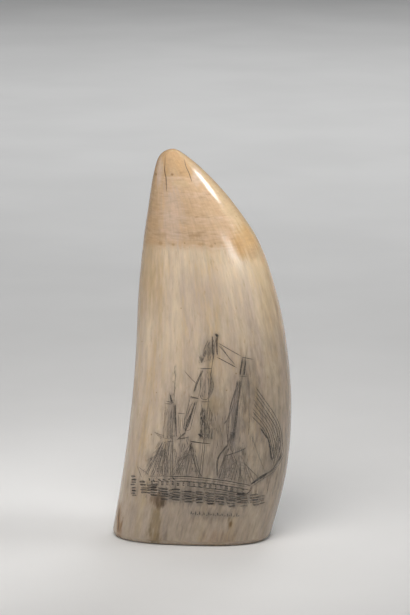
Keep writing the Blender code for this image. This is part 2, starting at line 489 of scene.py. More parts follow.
def cut_fore_mast():
    """The fore mast, its yards, and one long hanging sail with a dark edge on each side."""
    cut_mast(FORE)
    cut([(17.0, 74.6), (21.7, 73.4)], width=0.22, ink=0.85)
    cut([(16.4, 67.3), (19.4, 67.1)], width=0.20, ink=0.7)
    scratch([(17.5, 74.2), (16.8, 67.4)], strokes=4, spread=0.22, width=0.24, ink=0.85)
    scratch([(18.8, 73.2), (18.2, 67.4)], strokes=3, spread=0.22, width=0.22, ink=0.8)
    hatch(((17.2, 75.0), (20.4, 74.0)), ((16.4, 66.0), (20.6, 64.0)), 26, 3.0, 0.35)
    left_edge = [(16.1, 66.0), (13.6, 56.0), (12.4, 49.6), (12.2, 41.0)]
    right_edge = [(17.2, 66.0), (16.4, 59.5), (15.3, 49.7), (14.0, 42.8)]
    scratch(left_edge, 3, 0.26, curved=True, width=0.18, ink=0.65)
    scratch(right_edge, 2, 0.20, curved=True, width=0.20, ink=0.8)
    hatch(((16.0, 66.0), (17.4, 66.0)), ((12.0, 41.0), (14.4, 42.0)), 64, 2.6, 0.40, 0.16)
    hatch(((17.4, 66.0), (20.4, 66.0)), ((14.4, 42.0), (22.0, 40.0)), 44, 4.0, 0.28)
    cut([(19.9, 66.0), (20.2, 54.0), (20.0, 44.0)], curved=True, width=0.16, ink=0.5)
    scratch([(10.8, 49.2), (12.2, 50.6)], strokes=3, spread=0.2, width=0.20, ink=0.75)
    scratch([(11.0, 36.3), (16.7, 38.2), (19.1, 39.6)], 2, 0.15, curved=True, width=0.22, ink=0.85)
    scratch([(12.2, 40.8), (8.8, 35.2), (8.0, 28.8)], 4, 0.35, curved=True, width=0.20, ink=0.75)


def cut_mizzen_mast():
    """The mizzen mast, its two hanging sails, and the boom and spars over the stern."""
    cut_mast(MIZZEN)
    cut([(-11.9, 57.0), (-7.8, 56.4)], width=0.20, ink=0.7)
    scratch([(-9.6, 59.4), (-9.0, 56.2)], strokes=5, spread=0.4, width=0.26, ink=0.75)
    scratch([(-8.0, 56.0), (-7.6, 49.0), (-7.4, 43.4)], 3, 0.18, curved=True, width=0.20, ink=0.8)
    hanging_sail((-12.0, 56.0), (-8.6, 56.0), 42.4, folds=3, flare=-0.6, ink=0.4)
    hatch(((-11.8, 56.0), (-7.4, 56.0)), ((-14.0, 42.0), (-7.4, 43.0)), 56, 3.6, 0.32)
    hatch(((-8.6, 72.0), (-7.2, 72.0)), ((-9.2, 59.0), (-7.8, 59.0)), 12, 1.4, 0.45)
    cut([(-7.5, 42.4), (-2.6, 43.4)], width=0.24, ink=0.75)
    cut([(-11.4, 41.4), (-8.4, 41.6)], width=0.2, ink=0.5)
    hanging_sail((-6.9, 52.8), (-4.0, 52.4), 44.0, folds=2, flare=0.4, ink=0.4)
    hatch(((-7.2, 44.4), (-2.0, 44.4)), ((-6.8, 35.0), (-1.6, 35.0)), 60, 2.2, 0.38)
    scratch([(-15.8, 44.4), (-13.0, 42.4)], strokes=5, spread=0.6, width=0.16, ink=0.45)
    for step in range(3):
        cut([(-19.0 + step, 33.2 + step * 0.6), (-11.8, 36.4 + step * 0.9)], width=0.16, ink=0.4)


cut_main_mast()
cut_fore_mast()
cut_mizzen_mast()
print(len(cuts), "cuts after the masts and sails")

# %% [markdown]
# ## Rigging
# Shrouds fan out from each mast to the rail, with ratlines between them that sailors climb. Stays run
# forward from mast to mast and down to the bowsprit. Ropes are the finest lines on the tooth, and there are
# more of them than of anything else, so the fans and the headsails' ropes are laid by loops. Wear has
# broken them: each rope of a fan starts some way down from the mast, and each ratline is only two short
# pieces.

# %% Cut the rigging
def cut_shrouds(head, foot_start, foot_end, count, ratlines, ink=0.62):
    """A fan of ropes from a point of a mast to the rail, with ratlines across it. All are worn and broken."""
    stations = np.linspace(foot_start, foot_end, count)
    feet = [(x + hand.normal(0, 0.25), sheer(x) + hand.uniform(-0.2, 0.3)) for x in stations]
    for foot in feet:
        top = (head[0] + hand.normal(0, 0.5), head[1])
        cut([between(top, foot, hand.uniform(0.02, 0.4)), foot], width=0.16, ink=ink * hand.uniform(0.6, 1.4))
    for rung in range(ratlines):
        share = 0.35 + 0.6 * (rung + hand.uniform(-0.3, 0.3)) / ratlines
        start, end = between(head, feet[0], share), between(head, feet[-1], share)
        for _ in range(2):
            first = hand.uniform(0, 0.8)
            cut([between(start, end, first), between(start, end, first + 0.2)], width=0.14, ink=ink * 0.8)


def cut_stays():
    """The ropes that run forward from the main and the mizzen topmasts, and the shade between the masts."""
    cut([(8.6, 80.0), (17.2, 74.8)], width=0.22, ink=0.85)
    cut([(8.6, 79.2), (14.8, 71.6)], width=0.20, ink=0.85)
    cut([(8.8, 79.6), (13.2, 73.2)], width=0.16, ink=0.6)
    cut([(7.8, 74.6), (15.6, 70.6)], width=0.24, ink=0.9)
    cut([(-4.4, 69.0), (0.6, 64.0)], width=0.18, ink=0.7)
    cut([(2.6, 69.2), (-0.8, 60.8)], width=0.20, ink=0.75)
    scratch([(-2.3, 59.4), (1.0, 58.4)], strokes=3, spread=0.3, width=0.20, ink=0.65)
    cut([(-0.8, 57.6), (-4.2, 50.0)], width=0.16, ink=0.5)
    hatch(((6.6, 56.0), (12.0, 54.0)), ((6.0, 40.0), (10.0, 38.0)), 26, 2.4, 0.28)


def cut_headstays():
    """Ropes and the edges of furled headsails, from the fore topmast down to the bowsprit."""
    for rope in range(8):
        share = rope / 7
        head = (21.2 + 1.2 * share + hand.normal(0, 0.3), 52.0 + 11.0 * share)
        foot = between(BOWSPRIT[2], BOWSPRIT[3], 0.05 + 0.95 * share)
        bulge = (26.2 + 4.6 * share, 44.6 + 3.6 * share)
        cut([head, bulge, foot], curved=True, width=0.21, ink=0.68 + 0.30 * hand.random())
    furled = [(24.2, 46.8), (26.0, 43.8), (27.4, 40.9), (28.3, 33.7)]
    scratch(furled, strokes=3, spread=0.22, curved=True, width=0.22, ink=0.85)
    hatch(((27.0, 42.6), (31.4, 42.0)), ((28.4, 33.4), (31.0, 34.4)), 40, 2.6, 0.6, 0.18)
    hatch(((22.0, 58.0), (30.0, 50.0)), ((24.0, 42.0), (32.0, 38.0)), 60, 3.4, 0.44)
    cut([(20.9, 44.6), (25.6, 30.5)], width=0.18, ink=0.5)
    cut([(18.1, 33.7), (23.3, 27.7)], width=0.20, ink=0.6)


cut_shrouds((-11.6, 43.0), -20.0, -10.4, 9, 9)
cut_shrouds((-9.0, 43.6), -14.0, -5.6, 7, 4, ink=0.4)
hatch(((-13.6, 42.0), (-8.4, 42.0)), ((-21.6, 28.0), (-9.0, 27.2)), 110, 2.0, 0.50)
cut_shrouds((-1.6, 42.4), -10.4, 2.6, 11, 10)
hatch(((-2.8, 41.0), (-0.6, 41.0)), ((-10.0, 28.0), (2.0, 28.0)), 80, 2.4, 0.38)
cut_shrouds((17.4, 38.2), 8.4, 22.6, 10, 8)
cut_shrouds((13.0, 42.0), 8.0, 18.0, 8, 6, ink=0.4)
hatch(((12.4, 41.0), (18.6, 40.0)), ((8.2, 27.4), (20.0, 26.0)), 120, 2.2, 0.42)
cut_stays()
cut_headstays()
print(len(cuts), "cuts after the rigging")

# %% [markdown]
# ## Water, and the row below it
# The sea is a chequered band of short level dashes, stacked in blocks. Wide dark blocks take turns with
# narrow fainter ones, the band fades a little towards the right, and a column of dashes stands alone at its
# left end. Below the band runs a faded row of small slanting ticks, each with a random lean and a short one
# at its foot.

# %% Cut the water
WATER_START, WATER_END = -25.0, 26.4
WATER_TOP = ((-26, -20, -13, 0, 14, 27), (25.6, 24.4, 23.0, 21.8, 20.8, 20.0))
DASH_PITCH = 1.02
WIDE_DASHES, NARROW_DASHES, LEFT_DASHES = 5, 4, 8
TICKS, FIRST_TICK, TICK_PITCH = 11, (-1.9, 13.6), 1.72
TICK_ROW_FALL = 0.045


def cut_block(x, top, half_width, dashes, strength, lift=0.0):
    """A block of level dashes. Each is two rough strokes, and neighbours run together into dark patches."""
    for dash in range(dashes):
        z = top - (dash + hand.uniform(-0.15, 0.15)) * DASH_PITCH
        shift, tilt = hand.uniform(-0.3, 0.3), lift + hand.uniform(-0.08, 0.08)
        ends = [(x + shift - half_width, z - tilt), (x + shift, z + 0.05), (x + shift + half_width, z + tilt)]
        ink = min(1.0, strength * hand.uniform(0.6, 1.2))
        scratch(ends, 2, 0.09, width=hand.uniform(0.46, 0.66), ink=ink * 0.92, pointed=0.5)


def cut_water():
    """The chequered band, the column at its left end, and hatching over the whole of it."""
    x, wide = WATER_START + 4.4, True
    while x < WATER_END:
        half_width = hand.uniform(1.2, 1.7) if wide else hand.uniform(0.5, 0.9)
        strength = hand.uniform(0.75, 1.0) if wide else hand.uniform(0.4, 0.8)
        strength *= np.interp(x, (6, 18), (1.0, 0.66))
        top = np.interp(x, *WATER_TOP) + hand.uniform(-0.5, 0.4)
        dashes = WIDE_DASHES if wide else NARROW_DASHES
        cut_block(x, top, half_width, dashes, strength, np.interp(x, (-24, -12), (0.2, 0.0)))
        x += half_width + 1.1
        wide = not wide
    cut_block(WATER_START + 0.3, 25.6, 1.0, LEFT_DASHES, 0.9, 0.28)
    hatch(((-24.0, 24.6), (26.0, 19.8)), ((-24.4, 18.6), (26.0, 15.6)), 90, 1.4, 0.40)


def cut_faded_row():
    """A row of slanting ticks below the water, which falls a little towards the right."""
    for tick in range(TICKS):
        x = FIRST_TICK[0] + tick * TICK_PITCH
        z = FIRST_TICK[1] - TICK_ROW_FALL * (x - FIRST_TICK[0])
        lean = hand.uniform(-0.5, 0.5)
        low, high = z - hand.uniform(0.5, 1.0), z + hand.uniform(0.4, 0.9)
        cut([(x, low), (x + lean, high)], width=0.30, ink=0.9)
        cut([(x + 0.5, z - 0.6), (x + 1.1, z - hand.uniform(0.0, 0.5))], width=0.28, ink=0.85)


cut_water()
cut_faded_row()
print(len(cuts), "cuts after the water")

# %% [markdown]
# ## Drying cracks
# Old ivory splits along its length as it dries. Two hairline cracks run down from the tip, and one short
# brown one stands at the root. A crack is cut like a line, but it wavers more, runs out in longer points and
# holds brown dirt and not soot.

# %% Cut the cracks
# Each crack: its points from the top down, and its width.
CRACKS = (
    ([(-13.3, 148.5), (-13.1, 146.6), (-12.9, 143.6)], 0.24),
    ([(-13.1, 145.2), (-12.8, 142.4), (-12.2, 140.8), (-11.8, 137.2)], 0.40),
    ([(-11.9, 138.4), (-11.8, 135.4)], 0.22),
    ([(-6.2, 147.0), (-5.2, 144.8), (-3.7, 142.3), (-2.4, 138.8)], 0.30),
    ([(-30.5, 12.4), (-31.0, 8.0), (-31.3, 2.7)], 0.55),
)
for points, width in CRACKS:
    cut(points, width=width, ink=0.0, curved=True, waver=0.12, crack=1.0, pointed=1.5)
print(len(cuts), "cuts in all")

# %% [markdown]
# ## One skin with every cut in it
# A constrained Delaunay triangulation joins any set of points into well-shaped triangles and keeps chosen
# chains as edges, so over a thousand crossing lines become one clean mesh. The other ways, a Boolean for each
# line or a mesh fine enough everywhere, would be slow or heavy. Even points fill the sheet between the
# lines.
#
# Afterwards each point learns how near it is to a line's bottom, and sinks that far into the ivory. It also
# learns how many lines are close by, because soot has crept from every line into the ivory beside it.

# %% Triangulate the unrolled sheet
SHEET_COLUMNS = 190
SHEET_ROWS = 168
SAWN_EDGE_ROUND = 2.2
LAST_LEVEL = math.radians(88.6)
CLEAR_OF_CUTS = 0.22
SOOT_REACH, SOOT_SHARE = 0.45, 0.27


def nearest_cut(points):
    """For points of the sheet: how deep they lie, the ink and crack of the line they are in, how far outside
    the nearest line they are, and how clear of spread soot."""
    depth, ink, crack = (np.zeros(len(points)) for _ in range(3))
    gap, clear = np.full(len(points), np.inf), np.ones(len(points))
    for one in cuts:
        room = one.half_width.max() + 3 * SOOT_REACH
        above = np.all(points > one.path.min(axis=0) - room, axis=1)
        near = np.flatnonzero(above & np.all(points < one.path.max(axis=0) + room, axis=1))
        if not len(near):
            continue
        start, run = one.path[:-1], np.diff(one.path, axis=0)
        offset = points[near][:, None] - start
        share = np.clip((offset * run).sum(axis=2) / (run * run).sum(axis=1), 0, 1)
        distance = np.linalg.norm(offset - share[..., None] * run, axis=2)
        reach = one.half_width[:-1] + share * np.diff(one.half_width)
        closest = np.argmin(distance - reach, axis=1)
        rows = np.arange(len(near))
        distance, reach = distance[rows, closest], np.maximum(reach[rows, closest], 1e-6)
        inside = distance < reach
        depth[near] = np.maximum(depth[near], one.depth * np.clip(1 - distance / reach, 0, 1))
        ink[near] = np.maximum(ink[near], one.ink * inside)
        crack[near] = np.maximum(crack[near], one.crack * inside)
        gap[near] = np.minimum(gap[near], distance - reach)
        spread = np.exp(-np.maximum(distance - reach, 0) / SOOT_REACH)
        clear[near] *= 1 - SOOT_SHARE * one.ink * spread
    return depth, ink, crack, gap, clear


def chains_of(one, first):
    """A cut's points for the sheet, and the edges of its bottom and two lips, counted from a first number."""
    tangent = np.gradient(one.path, axis=0)
    tangent /= np.linalg.norm(tangent, axis=1, keepdims=True)
    aside = np.stack((-tangent[:, 1], tangent[:, 0]), axis=1) * one.half_width[:, None]
    count = len(one.path)
    points = np.vstack((one.path, (one.path + aside)[1:-1], (one.path - aside)[1:-1]))
    bottom = list(range(first, first + count))
    lips = [
        [bottom[0], *range(start, start + count - 2), bottom[-1]]
        for start in (first + count, first + 2 * count - 2)
    ]
    edges = [pair for chain in (bottom, *lips) for pair in zip(chain, chain[1:])]
    return points, edges


first_level = math.asin(SAWN_EDGE_ROUND / HEIGHT)
column_places = np.linspace(-math.pi, math.pi, SHEET_COLUMNS + 1) * SHEET_PER_TURN
row_places = np.linspace(first_level, LAST_LEVEL, SHEET_ROWS) * HEIGHT
even = np.stack(np.meshgrid(column_places, row_places), axis=-1).reshape(-1, 2)
even = even[nearest_cut(even)[3] > CLEAR_OF_CUTS]

sheet_points, sheet_edges = [even], []
for one in cuts:
    points, edges = chains_of(one, sum(map(len, sheet_points)))
    sheet_points.append(points)
    sheet_edges += edges
joined = delaunay_2d_cdt([Vector(p) for p in np.vstack(sheet_points)], sheet_edges, [], 0, 1e-3, False)
sheet = np.array([tuple(p) for p in joined[0]])
triangles = np.array(joined[2])
print(len(sheet), "points and", len(triangles), "triangles on the sheet")

# %% [markdown]
# ## Rolling the sheet up
# Each point of the sheet goes to its place on the tooth and sinks by its depth in a groove. The sheet's two
# long sides meet at the back, where their points are made one, and a cap of triangles closes the tip.
#
# Below the polished skin the mesh goes on as rings, because nothing is cut there: the rounded edge of the
# saw cut, the flat face, the mouth of the pulp cavity, and the cavity itself up to its blunt end.
#
# Every corner also gets a place on a flat map, so that the finish can be baked into a picture. The front
# takes three times as much of the map as the back, because the fine lines are there.

# %% Place the points of the skin
POLISHED, SAWN = 0, 1
MAP_EDGE, MAP_SKIN_START, MAP_SKIN_END = 0.138, 0.150, 0.990
MAP_FRONT_SHARE = 0.5

turns, levels = sheet[:, 0] / SHEET_PER_TURN, sheet[:, 1] / HEIGHT
skin_normals = outward(turns, levels)
skin_depth, _, _, _, skin_clear = nearest_cut(sheet)
skin_places = surface(turns, levels) - skin_normals * skin_depth[:, None]


def map_across(turn):
    """The place across the map of a turn, with more room in front than behind."""
    share = np.asarray(turn) / math.pi
    return 0.5 + 0.49 * (share + MAP_FRONT_SHARE * np.sin(math.pi * share) / math.pi)


def map_up(level):
    """The place up the map of a level, which follows the length of the tooth's outline."""
    grid = np.linspace(0, QUARTER, 400)
    steps = np.linalg.norm(np.diff(surface(np.zeros_like(grid), grid), axis=0), axis=1)
    lengths = np.concatenate(([0], np.cumsum(steps)))
    share = np.interp(level, grid, lengths / lengths[-1])
    return MAP_SKIN_START + (MAP_SKIN_END - MAP_SKIN_START) * share


skin_map = np.stack((map_across(turns), map_up(levels)), axis=1)
print(f"the deepest groove is {skin_depth.max():.2f} mm deep")

# %% Join the two sides at the back
def side_of_sheet(across):
    """The points on one long side of the sheet, from the root to the tip."""
    side = np.flatnonzero(np.isclose(sheet[:, 0], across, atol=1e-6))
    return side[np.argsort(sheet[side, 1])]


def row_of_sheet(up):
    """The points of one level of the sheet, from its left side to its right."""
    row = np.flatnonzero(np.isclose(sheet[:, 1], up, atol=1e-6))
    return row[np.argsort(sheet[row, 0])]


left_side, right_side = side_of_sheet(column_places[0]), side_of_sheet(column_places[-1])
owner = np.arange(len(sheet))
owner[right_side] = left_side
root_row, tip_row = (owner[row_of_sheet(up)[:-1]] for up in row_places[[0, -1]])
ring_turns = turns[root_row]

places = [skin_places]
corner_lists = owner[triangles].tolist()
corner_maps = skin_map[triangles].tolist()
slot_list = [POLISHED] * len(triangles)
print(len(ring_turns), "points in each ring below the skin")

# %% Add rings from the saw cut to the end of the pulp cavity
RIM_WALL = 10.0
PULP_DEPTH = 38.0
PULP_MOUTH_ROUND = 0.6
PULP_SQUARENESS, PULP_TAPER = 2.10, 1.6
ROUND_STEPS, FACE_STEPS, PULP_STEPS = 5, 5, 16
MAP_PER_MM = 0.0034
FACE_MAP_MIDDLE, PULP_MAP_MIDDLE = (0.13, 0.065), (0.38, 0.065)


def add_points(new):
    """Adds points in millimetres and gives their numbers."""
    first = sum(map(len, places))
    places.append(np.asarray(new).reshape(-1, 3))
    return np.arange(first, first + len(places[-1]))


def add_strip(above, below, slot, above_map, below_map):
    """Adds the faces between a ring and the next one down. A map row has one place more than its ring."""
    for i, (a, a_next, b, b_next) in enumerate(zip(above, np.roll(above, -1), below, np.roll(below, -1))):
        corner_lists.append([b, b_next, a_next, a])
        corner_maps.append([below_map[i], below_map[i + 1], above_map[i + 1], above_map[i]])
        slot_list.append(slot)


def edge_map(up):
    """The map row of a ring that goes round the skin."""
    return [(across, up) for across in map_across(np.append(ring_turns, math.pi))]


def flat_map(ring_places, middle):
    """The map row of a ring, seen straight from below."""
    flat = np.asarray(middle) + ring_places[:, :2] * MAP_PER_MM
    return np.vstack((flat, flat[:1])).tolist()


def edge_ring(angle):
    """A ring of the rounded saw edge. The angle runs from the tooth's side to its flat face."""
    rise = SAWN_EDGE_ROUND * (1 - math.sin(angle))
    level = np.full_like(ring_turns, math.asin(rise / HEIGHT))
    inwards = -outward(ring_turns, level) * (1, 1, 0)
    ring = surface(ring_turns, level) + inwards * SAWN_EDGE_ROUND * (1 - math.cos(angle))
    ring[:, 2] = rise
    return ring


def pulp_ring(depth, widened=0.0):
    """A ring of the pulp cavity at a depth above the saw cut."""
    root_half_width, root_half_thickness = section(0.0)[1:3]
    middle = section(math.asin(depth / HEIGHT))[0]
    narrowing = (1 - (depth / PULP_DEPTH) ** 2) ** (PULP_TAPER / 2)
    sideways, forwards = oval(ring_turns, PULP_SQUARENESS)
    x = middle + sideways * (narrowing * (root_half_width - RIM_WALL) + widened)
    y = -forwards * (narrowing * (root_half_thickness - RIM_WALL) + widened)
    return np.stack((x, y, np.full_like(x, depth)), axis=1)


def add_edge():
    """The rounded edge of the saw cut."""
    ring, row = root_row, edge_map(MAP_SKIN_START)
    for step in range(1, ROUND_STEPS + 1):
        share = step / ROUND_STEPS
        below = add_points(edge_ring(QUARTER * share))
        below_row = edge_map(MAP_SKIN_START + (MAP_EDGE - MAP_SKIN_START) * share)
        add_strip(ring, below, POLISHED, row, below_row)
        ring, row = below, below_row
    return ring


def add_face(ring):
    """The flat face that the tooth stands on, and the rounded mouth of the cavity."""
    outer, mouth = edge_ring(QUARTER), pulp_ring(0.0, PULP_MOUTH_ROUND)
    rows = [outer + (mouth - outer) * step / FACE_STEPS for step in range(1, FACE_STEPS + 1)]
    for angle in np.linspace(0, QUARTER, ROUND_STEPS + 1)[1:]:
        depth = PULP_MOUTH_ROUND * (1 - math.cos(angle))
        rows.append(pulp_ring(depth, PULP_MOUTH_ROUND * (1 - math.sin(angle))))
    last = outer
    for row in rows:
        below = add_points(row)
        add_strip(ring, below, SAWN, flat_map(last, FACE_MAP_MIDDLE), flat_map(row, FACE_MAP_MIDDLE))
        ring, last = below, row
    return ring, last


def add_pulp(ring, last):
    """The cavity's wall, closed by a fan at its end."""
    for share in np.sin(np.linspace(0, QUARTER, PULP_STEPS + 1))[1:-1]:
        row = pulp_ring(PULP_MOUTH_ROUND + (PULP_DEPTH - PULP_MOUTH_ROUND) * share)
        below = add_points(row)
        add_strip(ring, below, SAWN, flat_map(last, PULP_MAP_MIDDLE), flat_map(row, PULP_MAP_MIDDLE))
        ring, last = below, row
    end_place = np.array([[section(math.asin(PULP_DEPTH / HEIGHT))[0], 0, PULP_DEPTH]])
    end = add_points(end_place)[0]
    end_map, last_map = flat_map(end_place, PULP_MAP_MIDDLE)[0], flat_map(last, PULP_MAP_MIDDLE)
    for i, (a, b) in enumerate(zip(ring, np.roll(ring, -1))):
        corner_lists.append([end, b, a])
        corner_maps.append([end_map, last_map[i + 1], last_map[i]])
        slot_list.append(SAWN)


def add_tip():
    """The fan of triangles that closes the tip."""
    end = add_points(surface(np.array([0.0]), np.array([QUARTER])))[0]
    row = edge_map(map_up(LAST_LEVEL))
    for i, (a, b) in enumerate(zip(tip_row, np.roll(tip_row, -1))):
        corner_lists.append([a, b, end])
        corner_maps.append([row[i], row[i + 1], ((row[i][0] + row[i + 1][0]) / 2, MAP_SKIN_END)])
        slot_list.append(POLISHED)


add_pulp(*add_face(add_edge()))
add_tip()
print(len(corner_lists) - len(triangles), "faces outside the sheet")

# %% Make the mesh
all_places = np.vstack(places)
kept = np.setdiff1d(np.arange(len(all_places)), right_side)
new_number = np.zeros(len(all_places), int)
new_number[kept] = np.arange(len(kept))
mesh = bpy.data.meshes.new("tooth")
mesh.from_pydata(all_places[kept] * MM, [], [new_number[face].tolist() for face in corner_lists])
mesh.uv_layers.new(name="OFBake")
mesh.uv_layers["OFBake"].data.foreach_set("uv", np.concatenate([np.ravel(m) for m in corner_maps]))
print(len(mesh.vertices), "points and", len(mesh.polygons), "faces")

# %% [markdown]
# ## What the finish needs to know
# A material can't tell a groove from the polished skin, so each face carries two numbers, its ink and its
# crack. Each point carries its place on a straightened tooth. Streaks and growth rings drawn in those
# coordinates bend with the tooth, as the real ones do, and have no seam.
#
# The polished skin also gets its exact directions from the formula. Directions averaged from the triangles
# would wobble around every groove, and a highlight would show it.

# %% Store ink, cracks, straightened places and directions
STRAIGHT_HALF_WIDTH, STRAIGHT_HALF_THICKNESS = 30.0, 20.0


def store(name, kind, domain, values):
    """Keeps one value for each point or face under a name that a material can read."""
    layer = mesh.attributes.new(name, kind, domain)
    layer.data.foreach_set("vector" if kind == "FLOAT_VECTOR" else "value", np.asarray(values, "f").ravel())


_, face_ink, face_crack, _, _ = nearest_cut(sheet[triangles].mean(axis=1))
plain_rest = np.zeros(len(corner_lists) - len(triangles))
store("ink", "FLOAT", "FACE", np.concatenate((face_ink, plain_rest)))
store("crack", "FLOAT", "FACE", np.concatenate((face_crack, plain_rest)))
spread_soot = np.zeros(len(all_places))
spread_soot[: len(sheet)] = 1 - skin_clear
store("soot", "FLOAT", "POINT", spread_soot[kept])

straight = all_places * (1, -1, 1)
skin_sideways, skin_forwards = oval(turns, section(levels)[3])
straight[: len(sheet), 0] = skin_sideways * STRAIGHT_HALF_WIDTH
straight[: len(sheet), 1] = skin_forwards * STRAIGHT_HALF_THICKNESS
store("straight", "FLOAT_VECTOR", "POINT", straight[kept])

mesh.polygons.foreach_set("use_smooth", np.ones(len(mesh.polygons), bool))
mesh.polygons.foreach_set("material_index", slot_list)
face_directions = np.zeros((len(mesh.polygons), 3), "f")
mesh.polygons.foreach_get("normal", face_directions.ravel())
skin_corners = len(triangles) * 3
corner_directions = np.zeros((len(mesh.loops), 3))
corner_directions[:skin_corners] = skin_normals[triangles].reshape(-1, 3)
in_groove = np.flatnonzero(np.repeat((face_ink > 0) | (face_crack > 0), 3))
corner_directions[in_groove] = face_directions[in_groove // 3]
mesh.normals_split_custom_set(corner_directions.tolist())
print(f"{len(in_groove) / skin_corners:.0%} of the skin's triangles lie in grooves")

# %% Put the tooth into the frame
tooth = bpy.data.objects.new("engraved_tooth", mesh)
bpy.context.scene.collection.objects.link(tooth)
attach(tooth, "root")
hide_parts("whale_tooth")
print("the engraved tooth stands for the packed one")

# %% [markdown]
# ## Writing a finish as sums
# A finish is made of masks: numbers from 0 to 1 that say where a stain lies or how deep a ring is. Wiring
# them up node by node is hard to read. A small class wraps a socket, so that 1 - mask or streaks * 0.3 adds
# the right Math node. A second class holds one material and adds every other kind of node through one
# method.

# %% Make the tools for a finish
class Reading:
    """A socket of a finish. Sums and products of readings add Math nodes."""

    def __init__(self, finish, socket):
        self.finish = finish
        self.socket = socket

    def __add__(self, other):
        return self.finish.maths("ADD", self, other)

    def __sub__(self, other):
        return self.finish.maths("SUBTRACT", self, other)

    def __rsub__(self, other):
        return self.finish.maths("SUBTRACT", other, self)

    def __mul__(self, other):
        return self.finish.maths("MULTIPLY", self, other)

    __radd__ = __add__
    __rmul__ = __mul__


class Finish:
    """A material that is written down one reading at a time."""

    def __init__(self, name):
        self.material = bpy.data.materials.new(name)
        self.material.use_nodes = True
        self.tree = self.material.node_tree
        self.shader = self.tree.nodes["Principled BSDF"]

    def feed(self, socket, value):
        """Links a reading to a socket, or sets the socket to a number, a colour or a vector."""
        if isinstance(value, Reading):
            self.tree.links.new(value.socket, socket)
        elif socket.type == "RGBA":
            socket.default_value = (*value, 1.0)
        else:
            socket.default_value = value

    def node(self, kind, settings, sockets, result=0):
        """Adds a node. Its settings come first, then its sockets, each by name or by number."""
        made = self.tree.nodes.new("ShaderNode" + kind)
        for name, value in settings.items():
            setattr(made, name, value)
        usable = [socket for socket in made.inputs if socket.enabled]
        for key, value in sockets.items():
            found = usable[key] if isinstance(key, int) else next(s for s in usable if s.name == key)
            self.feed(found, value)
        usable = [socket for socket in made.outputs if socket.enabled]
        found = usable[result] if isinstance(result, int) else next(s for s in usable if s.name == result)
        return Reading(self, found)

    def maths(self, operation, first, second):
        return self.node("Math", {"operation": operation}, {0: first, 1: second})

    def stretched(self, vector, factors):
        """A vector with each of its parts multiplied."""
        return self.node("VectorMath", {"operation": "MULTIPLY"}, {0: vector, 1: factors})

    def parts(self, vector):
        """The three parts of a vector."""
        return [self.node("SeparateXYZ", {}, {0: vector}, axis) for axis in "XYZ"]

    def noise(self, vector, scale, detail=2.0, roughness=0.5):
        """Smooth random values around 0, mostly between -1 and 1."""
        sockets = {"Vector": vector, "Scale": scale, "Detail": detail, "Roughness": roughness}
        return (self.node("TexNoise", {}, sockets) - 0.5) * 4.0

    def rise(self, value, start, end):
        """A soft step from 0 to 1 between two values, or from 1 to 0 if the first is the greater."""
        settings = {"interpolation_type": "SMOOTHSTEP", "clamp": True}
        if start < end:
            return self.node("MapRange", settings, {"Value": value, "From Min": start, "From Max": end})
        sockets = {"Value": value, "From Min": end, "From Max": start, "To Min": 1.0, "To Max": 0.0}
        return self.node("MapRange", settings, sockets)

    def mix(self, first, second, share):
        """A colour between two others."""
        return self.node("Mix", {"data_type": "RGBA"}, {"A": first, "B": second, "Factor": share}, "Result")

    def shaded(self, colour, amount):
        """A colour multiplied by a reading."""
        grey = self.node("CombineColor", {}, {0: amount, 1: amount, 2: amount})
        settings = {"data_type": "RGBA", "blend_type": "MULTIPLY"}
        return self.node("Mix", settings, {"A": colour, "B": grey, "Factor": 1.0}, "Result")


print("the tools for a finish are ready")

# %% [markdown]
# ## Polished ivory
# Under the polish a whale tooth is built in layers. The cap and the upper third are tan dentine with fine
# level growth rings. Below a ragged boundary lies paler cementum, with pinkish-grey and yellow streaks
# along the tooth, and small brown pits follow both boundaries. Where the scraper cut pores open they show
# as short flecks that lie along the tooth. Handling and old oil leave yellow-brown edges and a few brown
# stains. The root and the lower outer side are painted darker, mostly as painted shade where the light
# falls off downwards and partly as the root's own greyer tone. The soot of the engraving has spread a
# little into the ivory around the lines.
#
# The streaks, flecks and rings are noise that is drawn out along or across the straightened tooth. The
# stains and pits are soft ovals on the front, and one table says where each lies, how large it is, what
# colour it has and how strong it is. Three pale pink ovals of that table are painted soft reflections of a
# lamp on the polish.

# %% Choose the ivory's colours
CREAM, PINK_GREY, YELLOW_TAN = (0.720, 0.588, 0.432), (0.590, 0.475, 0.380), (0.590, 0.445, 0.270)
TAN, CAP_TAN, PALE_PINK = (0.590, 0.415, 0.262), (0.540, 0.360, 0.195), (0.640, 0.500, 0.400)
EDGE_BROWN, OLIVE_BROWN, DARK_BROWN = (0.440, 0.290, 0.150), (0.330, 0.225, 0.095), (0.120, 0.070, 0.032)
ORANGE_BROWN, PATCH_ORANGE, STAIN_BROWN = (0.400, 0.215, 0.080), (0.540, 0.345, 0.160), (0.230, 0.125, 0.045)
SOOT, SOOT_HAZE, BLUE_SOOT = (0.042, 0.036, 0.032), (0.17, 0.15, 0.13), (0.19, 0.19, 0.22)
CRACK_DIRT = (0.05, 0.03, 0.02)
